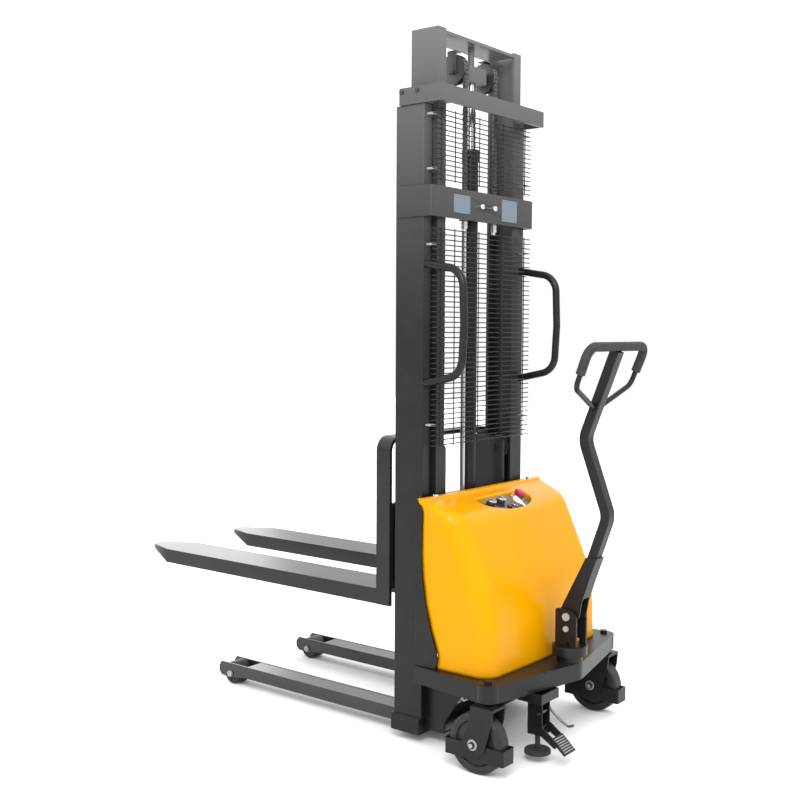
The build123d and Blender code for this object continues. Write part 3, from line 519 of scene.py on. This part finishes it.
def recessOutline(grow=0.0):
    # the D-shaped opening, one turn from the front left corner, grown outward
    front, half = recess["front"], recess["half"]
    rear = front - recess["depth"]
    bend = [(front, half), (front - 31, half + 7), (front - 60, half - 16), (rear + 5, half * 0.47),
            (rear, 0)]
    bend += [(x, -y) for x, y in reversed(bend[:-1])]
    curve = smoothRows(bend, 10)
    edge = [(front, -half + 2 * half * k / 40) for k in range(1, 40)]
    loop = curve + edge
    made = []
    for k, (x, y) in enumerate(loop):
        ax, ay = loop[k - 1]
        bx, by = loop[(k + 1) % len(loop)]
        length = math.hypot(bx - ax, by - ay)
        made.append((x - (ay - by) / length * grow, y + (ax - bx) / length * grow))
    return made


def panelHeight(x):
    return recess["floor"] - math.tan(slope) * (recess["front"] - x)


def buildCover():
    rows = [coverSection(row) for row in smoothRows(cover["rows"], cover["steps"])]
    points, faces = gridParts(rows)
    surface = BVHTree.FromPolygons(points, faces)

    def skin(x, y):
        hit = surface.ray_cast(at(x, y, 900), Vector((0, 0, -1)))
        return hit[0].z / mm if hit[0] else 740.0

    shell = makeObject("bodyCover", points, faces, finish["cover"], "chassis", "cover_yellow", 50)
    thick = shell.modifiers.new("thick", "SOLIDIFY")
    thick.thickness = cover["wall"] * mm
    thick.offset = -1
    outer = recessOutline(cover["lip"] - 0.5)
    count = len(outer)
    prism = [at(x, y, 640) for x, y in outer] + [at(x, y, 860) for x, y in outer]
    sides = [(k, (k + 1) % count, (k + 1) % count + count, k + count) for k in range(count)]
    caps = [tuple(reversed(range(count))), tuple(range(count, 2 * count))]
    cutterMesh = bpy.data.meshes.new("recessCutter")
    cutterMesh.from_pydata([tuple(p) for p in prism], [], sides + caps)
    cutter = bpy.data.objects.new("recessCutter", cutterMesh)
    bpy.context.scene.collection.objects.link(cutter)
    cut = shell.modifiers.new("opening", "BOOLEAN")
    cut.operation = "DIFFERENCE"
    cut.solver = "EXACT"
    cut.object = cutter
    bpy.context.view_layer.update()
    graph = bpy.context.evaluated_depsgraph_get()
    solid = bpy.data.meshes.new_from_object(shell.evaluated_get(graph))
    shell.modifiers.clear()
    shell.data = solid
    bpy.data.objects.remove(cutter)

    lip = cover["lip"]
    rings = []
    for grow in (lip + 5, lip + 2.5, lip, lip * 0.75, lip * 0.5, lip * 0.28, lip * 0.1, 0.0):
        drop = lip - math.sqrt(max(0.0, lip * lip - max(0.0, lip - grow) ** 2))
        rings.append([at(x, y, skin(x, y) + 0.12 - drop) for x, y in recessOutline(grow)])
    rim = recessOutline(0.0)
    for share in (0.35, 0.7, 1.0):
        rings.append([at(x, y, (skin(x, y) - lip) * (1 - share) + (panelHeight(x) - 2) * share) for x,
                      y in rim])
    for ring in rings:
        ring.append(ring[0])
    ringPoints, ringFaces = gridParts(rings)
    makeObject("coverRecess", ringPoints, ringFaces, finish["cover"], "chassis", "cover_yellow", 60)
    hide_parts("body_cover")
    return rim


rim = buildCover()
print("cover built")


panelLook = {
    "buttons": {"button_lift": (36, 92, "lift_button"), "button_lower": (34, 34, "lower_button")},
    "stop": (34, -74), "key": (58, -20), "lamp": (60, 12), "plate": 4.0,
}


def panelSpot(u, v, h=0.0):
    return at(recess["front"] - u * math.cos(slope), v,
              recess["floor"] - u * math.sin(slope)) + panelUp * h * mm


def buildPanel():
    top = [at(x, y, panelHeight(x)) for x, y in rim]
    low = [p - panelUp * panelLook["plate"] * mm for p in top]
    count = len(top)
    faces = [tuple(range(count)), tuple(reversed(range(count, 2 * count)))]
    faces += [(k, (k + 1) % count, (k + 1) % count + count, k + count) for k in range(count)]
    plate = makeObject("controlPlate", top + low, faces, finish["panel"], "chassis", "black_plastic")
    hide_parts("control_panel", "panel_fittings")

    def turned(name, profile, spot, material, body, slotName, segments=40):
        parts = latheParts(profile, panelSpot(*spot), panelUp, segments)
        return makeObject(name, *parts, finish[material], body, slotName)

    for node, (u, v, body) in panelLook["buttons"].items():
        turned(node + "Bezel", [(17, 0)] + roundCorner(17, 7, 1.5) + [(14.2, 7), (14.2, 0.2)], (u, v),
               "black",
               "chassis", "black_plastic")
        cap = turned(node + "Body", [(13.6, 4), (13.6, 8), (14.2, 11), (14.6, 21), (14.0, 22)], (u, v),
                     "black", body, "black_plastic")
        turned(node + "Ring", [(15.0, 20.6)] + roundCorner(16.0, 25.4, 1.8) + [(13.8, 25.4), (13.5, 24.4)],
               (u, v),
               "chrome", body, "chrome")
        turned(node + "Lens", [(13.5, 23.5), (13.5, 24.8), (10, 25.5), (5, 25.9), (0.01, 26.0)], (u, v),
               "lens", body, "plate_metal")
        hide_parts(node)
    spot = panelLook["stop"]
    turned("stopCollar", [(17.5, 0)] + roundCorner(17.5, 11, 1.2) + [(15.4, 11), (15.4, 1)], spot, "amber",
           "chassis",
           "cover_yellow")
    turned("stopBand", [(15, 6), (15, 20.5), (9, 20.5)], spot, "green", "emergency_stop", "black_plastic")
    stop = turned("stopCap", [(9, 18), (9, 20), (17, 20), (18.6, 21), (19.2, 24), (19.4, 30), (18.6, 34),
                              (15.5, 36.4),
                              (8, 37.4), (0.01, 37.6)], spot, "red", "emergency_stop", "red_plastic", 56)
    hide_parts("stop_button")
    spot = panelLook["key"]
    turned("keyBarrel", [(12, 0)] + roundCorner(12, 9, 2) + [(7.5, 9), (7, 8), (6.4, 8)], spot, "chrome",
           "chassis", "chrome")
    turned("lampBody", [(9, 0)] + roundCorner(9, 8, 2.5) + [(0.01, 8.6)], panelLook["lamp"], "black",
           "chassis", "black_plastic")


tag = {"top": (52, -6, 30), "foot": (78, -48, 8), "halves": [(0, 3), (5, 9), (14, 11.5), (24, 9), (38, 5),
                                                             (56, 2.5)],
       "thick": 1.0, "belly": 1.5, "facing": (-0.5, 0.5, 0.7), "bow": (58, -20, 25), "shank": (6, 22)}


def buildTag():
    # a white plastic tag on a steel ring, hanging from the key
    top, foot = panelSpot(*tag["top"]), panelSpot(*tag["foot"])
    ring = [top + Vector((0.003 * math.cos(t), 0.008 * math.sin(t), 0.008 * math.cos(t) + 0.004))
            for t in [2 * math.pi * k / 24 for k in range(25)]]
    makeObject("keyRing", *tubeParts(ring, 0.7, 8), finish["zinc"], "key_switch", "bright_steel")
    bow = panelSpot(*tag["bow"])
    disc = latheParts([(3, -1), (7.4, -1), (8, -0.4), (8, 0.4), (7.4, 1), (3, 1)], bow, (0, 1, 0), 32)
    shank = tubeParts([bow - panelUp * reach * mm for reach in tag["shank"]], 1.8, 12)
    bowAndShank = makeObject("keyBow", *merge([disc, shank]), finish["zinc"], "key_switch", "bright_steel")
    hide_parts("key")
    down = (foot - top).normalized()
    face = Vector(tag["facing"])
    face = (face - down * face.dot(down)).normalized()
    wide = down.cross(face)
    rim = [(along, half) for along, half in tag["halves"]] + [(along, -half) for along,
                                                              half in reversed(tag["halves"])]
    points = [top + (down * along + wide * half + face * (lift + tag["belly"] * math.sin(along / 52 * math.pi))) * mm
              for lift in (0.0, tag["thick"]) for along, half in rim]
    count = len(rim)
    faces = [tuple(range(count)), tuple(reversed(range(count, 2 * count)))]
    faces += [(k, (k + 1) % count, (k + 1) % count + count, k + count) for k in range(count)]
    makeObject("keyTag", points, faces, finish["paper"], "chassis",
               "plate_metal")   # loose, so it stays as the key turns


buildPanel()
buildTag()
print("control panel built")


chain = {"y": 83, "sheaveX": 32, "sheaveZ": 2100, "radius": 41.9, "width": 17.6, "plateHalf": 4.5,
         "pitch": 12.7,
         "leaves": 7, "plateShare": 0.82, "pin": 2.1, "pinProud": 0.2, "rearFoot": 1652, "frontFoot": 644}


def linkParts(start, end, across, y, thick):
    # one flat link plate between two pins
    along = (end - start).normalized()
    up = along.cross(across).normalized()
    points = []
    for side in (-0.5, 0.5):
        for centre, turn in ((end, 0.0), (start, math.pi)):
            for k in range(6):
                angle = turn - 0.5 * math.pi + math.pi * k / 5
                reach = chain["plateHalf"] * mm
                points.append(centre + across * (y + side * thick) * mm
                              + along * math.cos(angle) * reach + up * math.sin(angle) * reach)
    faces = [tuple(reversed(range(12))), tuple(range(12, 24))]
    faces += [(k, (k + 1) % 12, (k + 1) % 12 + 12, k + 12) for k in range(12)]
    return points, faces


def chainParts(path):
    across = Vector((0, 1, 0))
    thick = chain["width"] / chain["leaves"]
    parts = []
    for side in (1, -1):
        middle = Vector((0, side * chain["y"] * mm, 0))
        for k in range(len(path) - 1):
            for leaf in range(chain["leaves"]):
                if (leaf + k) % 2:
                    continue
                y = (leaf - (chain["leaves"] - 1) / 2) * thick
                parts.append(linkParts(path[k] + middle, path[k + 1] + middle, across, y,
                                       thick * chain["plateShare"]))
            centre = path[k] + middle
            pinEnd = chain["width"] / 2 + chain["pinProud"]
            parts.append(latheParts([(chain["pin"], -pinEnd), (chain["pin"], pinEnd)], centre, across, 10))
    return merge(parts)


def chainRun(low, high, x):
    count = round((high - low) / chain["pitch"])
    return [at(x, 0, low + (high - low) * k / count) for k in range(count + 1)]


def buildChains():
    x, top, reach = chain["sheaveX"], chain["sheaveZ"], chain["radius"]
    front = chainRun(chain["frontFoot"], top, x + reach)
    rear = chainRun(chain["rearFoot"], top, x - reach)
    bend = [at(x + reach * math.cos(math.pi * k / 10), 0,
               top + reach * math.sin(math.pi * k / 10)) for k in range(11)]
    look = finish["darkSteel"]
    for name, path, node in (("frontChain", front, "chain_front_run"),
                             ("rearChain", rear, "chain_rear_run"),
                             ("sheaveChain", bend, "chain_wrap")):
        parts = chainParts(path)
        mesh = bpy.data.meshes.new(name)
        mesh.from_pydata([tuple(p) for p in parts[0]], [], parts[1])
        made = bpy.data.objects.new(name, mesh)
        bpy.context.scene.collection.objects.link(made)
        mesh.materials.append(look)
        if name == "sheaveChain":
            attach(made, "inner_mast")
        elif name == "frontChain":
            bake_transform(made)
        else:
            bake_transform(made)
        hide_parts(node)


buildChains()
print("chains built")


wheels = {
    "caster": {"radius": 90, "half": 24, "dish": 17, "hub": 24, "axle": (-262, 350, 90),
               "bearingProud": 1.6},
    "load": {"radius": 40, "half": 32.5, "dish": 29, "hub": 17, "axle": (894, 203.5, 40),
             "bearingProud": 1.6},
}


def wheelProfile(radius, half, dish, hub):
    rimInner = radius * 0.74
    crown = [(radius - 7, half), (radius - 3.5, half - 1.2), (radius - 1.2, half - 4),
             (radius - 0.25, half - 9), (radius, half - 16)]
    side = [(8, half + 1.2), (hub - 2, half + 1.2), (hub, half), (hub + 2, dish), (rimInner - 3, dish),
            (rimInner, half - 1.5),
            (rimInner + 2, half)]
    rise = side + crown
    return rise + [(r, -h) for r, h in reversed(rise)]


def buildWheels():
    for kind, spec in wheels.items():
        x, y, z = spec["axle"]
        shape = wheelProfile(spec["radius"], spec["half"], spec["dish"], spec["hub"])
        for side, word in ((1, "left"), (-1, "right")):
            centre = at(x, side * y, z)
            node = ("caster_wheel_" if kind == "caster" else "load_roller_") + word
            body = ("wheel_" if kind == "caster" else "roller_") + word
            parts = latheParts(shape, centre, (0, 1, 0), 72)
            wheel = makeObject(node + "Tyre", *parts, finish["wheel"], body, "wheel_nylon")
            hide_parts(node)
            hub = spec["hub"] - 3
            end = spec["half"] + spec["bearingProud"]
            cap = [(8.4, -end), (hub, -end), (hub, end), (8.4, end)]
            makeObject(node + "Bearing", *latheParts(cap, centre, (0, 1, 0), 40), finish["zinc"], body,
                       "wheel_nylon")


buildWheels()
print("wheels built")


hardware = {"washerOut": 35.2, "boltOut": 43, "padTop": (-407, 82), "padFoot": (-453, 42),
            "padY": (134, 186), "ribs": 7,
            "ribStart": 0.12, "ribSpan": 0.76, "ribX": -5.0, "ribZ": 5.6, "ribRadius": 1.5}


def buildHardware():
    # axle washers and bolt ends on the casters, tread ribs on the pedal
    x, y, z = wheels["caster"]["axle"]
    for side, word in ((1, "left"), (-1, "right")):
        for end in (1, -1):
            out = (0, end, 0)
            washer = latheParts([(9, 0), (16, 0)] + roundCorner(16, 1.8, 0.6) + [(9, 1.8)],
                                at(x, side * y + end * hardware["washerOut"], z), out, 32)
            bolt = latheParts([(6.5, 0), (6.5, 2.4), (5.4, 3.2), (0.01, 3.4)],
                              at(x, side * y + end * hardware["boltOut"], z), out, 24)
            makeObject(f"axleEnd_{word}_{'outer' if end == side else 'inner'}", *merge([washer, bolt]),
                       finish["boltGrey"],
                       "caster_" + word, "bright_steel")
    (topX, topZ), (footX, footZ) = hardware["padTop"], hardware["padFoot"]
    low, high = hardware["padY"]
    ribs = []
    for k in range(hardware["ribs"]):
        share = hardware["ribStart"] + hardware["ribSpan"] * k / (hardware["ribs"] - 1)
        px = topX + (footX - topX) * share + hardware["ribX"]
        pz = topZ + (footZ - topZ) * share + hardware["ribZ"]
        ribs.append(tubeParts([at(px, low, pz), at(px, high, pz)], hardware["ribRadius"], 10))
    makeObject("pedalTread", *merge(ribs), finish["boltGrey"], "lock_pedal", "frame_paint")


buildHardware()
print("hardware fitted")


# weld beads on the left side; the right side mirrors them
beads = {
    "plate": {"corners": [(-94, 343, 262), (-20, 343, 262)], "radius": 2.4, "body": "chassis"},
    "foot": {"corners": [(1, 284, 79), (106, 284, 79), (108, 242, 79)], "radius": 2.6, "body": "chassis"},
    "leg": {"corners": [(117, 163, 40), (117, 163, 78), (117, 244, 78), (117, 244, 40)], "radius": 2.4,
            "body": "chassis"},
    "arch": {"corners": [(124, 289, 470), (124, 289, 740)], "radius": 1.0, "body": "carriage"},
    "fork": {"corners": [(179, 134, 466), (179, 276, 466)], "radius": 2.6, "body": "carriage"},
}
beadLook = {"chassis": ("framePaint", "frame_paint"), "carriage": ("forkPaint", "fork_paint")}


def buildBeads():
    for side, word in ((1, "Left"), (-1, "Right")):
        for place, spec in beads.items():
            path = alongLine([at(x, side * y, z) for x, y, z in spec["corners"]], 0.9)
            paint, slotName = beadLook[spec["body"]]
            parts = tubeParts(path, spec["radius"], 8, 0.16, 3.6)
            makeObject(place + "Bead" + word, *parts, finish[paint], spec["body"], slotName, 80)


buildBeads()
print("welds built")


studio = {"horizon": (1.0, 1.0, 1.0), "overhead": (2.0, 2.0, 2.03), "low": 0.06, "high": 0.5,
          "floorTone": (0.86, 0.86, 0.86), "floorReach": 14}

lamps = {
    "key": {"place": (-2600, 1800, 4200), "aim": (-100, 0, 1100), "size": 1.6, "power": 30},
    "front": {"place": (5200, -2600, 1900), "aim": (500, 0, 300), "size": 2.6, "power": 45},
    "high": {"place": (-1500, 2600, 3000), "aim": (0, 0, 2150), "size": 1.2, "power": 70},
}


def addStudio():
    bpy.context.scene.view_settings.view_transform = "Standard"
    world = bpy.data.worlds.new("studio")
    world.use_nodes = True
    tree = world.node_tree
    shade = tree.nodes.new("ShaderNodeMix")   # the soft box overhead is brighter than the walls
    shade.data_type = "RGBA"
    shade.clamp_factor = True
    shade.inputs[6].default_value = (*studio["horizon"], 1)
    shade.inputs[7].default_value = (*studio["overhead"], 1)
    reach = tree.nodes.new("ShaderNodeMapRange")
    reach.inputs["From Min"].default_value = studio["low"]
    reach.inputs["From Max"].default_value = studio["high"]
    split = tree.nodes.new("ShaderNodeSeparateXYZ")
    where = tree.nodes.new("ShaderNodeTexCoord")
    tree.links.new(where.outputs["Generated"], split.inputs[0])
    tree.links.new(split.outputs[2], reach.inputs["Value"])
    tree.links.new(reach.outputs[0], shade.inputs[0])
    tree.links.new(shade.outputs[2], tree.nodes["Background"].inputs[0])
    bpy.context.scene.world = world
    mesh = bpy.data.meshes.new("floor")
    far = studio["floorReach"]
    mesh.from_pydata([(-far, -far, 0), (far, -far, 0), (far, far, 0), (-far, far, 0)], [], [(0, 1, 2, 3)])
    floor = bpy.data.objects.new("floor", mesh)
    bpy.context.scene.collection.objects.link(floor)
    ground = Finish("paleFloor", **{"Roughness": 0.75, "Base Color": studio["floorTone"]})
    mesh.materials.append(ground.material)
    for name, spec in lamps.items():
        data = bpy.data.lights.new(name, "AREA")
        data.size = spec["size"]
        data.energy = spec["power"]
        lamp = bpy.data.objects.new(name, data)
        lamp.location = at(*spec["place"])
        lamp.rotation_euler = (at(*spec["aim"]) - lamp.location).to_track_quat("-Z", "Y").to_euler()
        bpy.context.scene.collection.objects.link(lamp)


addStudio()
print("studio lit")
